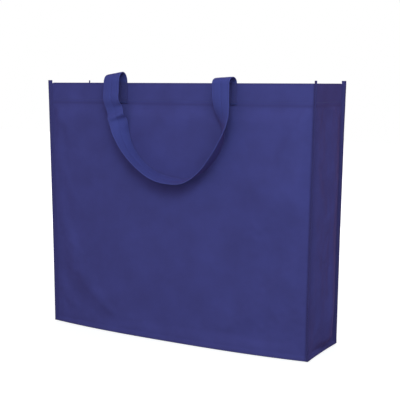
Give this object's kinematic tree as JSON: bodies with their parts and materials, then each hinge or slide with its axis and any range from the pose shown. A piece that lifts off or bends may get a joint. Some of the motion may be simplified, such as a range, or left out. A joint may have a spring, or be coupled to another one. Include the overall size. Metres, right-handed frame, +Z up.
{
  "type": "non-woven carrier bag",
  "caption": "Open upright carrier bag of non-woven cloth with gusseted sides, sewn fins along its edges, a hemmed mouth and looped strap handles.",
  "frame": {"origin": "middle of the bottom's underside, on the ground, midway between the four corner seams", "axes": "+Z up to the mouth, -Y out of the front panel, +X along the wide walls towards the right gusset"},
  "size_m": [0.4166, 0.1463, 0.3632],
  "materials": {
    "cloth": "matt spun-bonded cloth with a fine embossed grid",
    "strap": "matt folded strap of the same cloth"
  },
  "bodies": {
    "root": {"front_panel": "cloth", "back_panel": "cloth", "left_gusset": "cloth", "right_gusset": "cloth", "bottom_panel": "cloth", "front_handle": "strap", "rear_handle": "strap"}
  },
  "joints": []
}
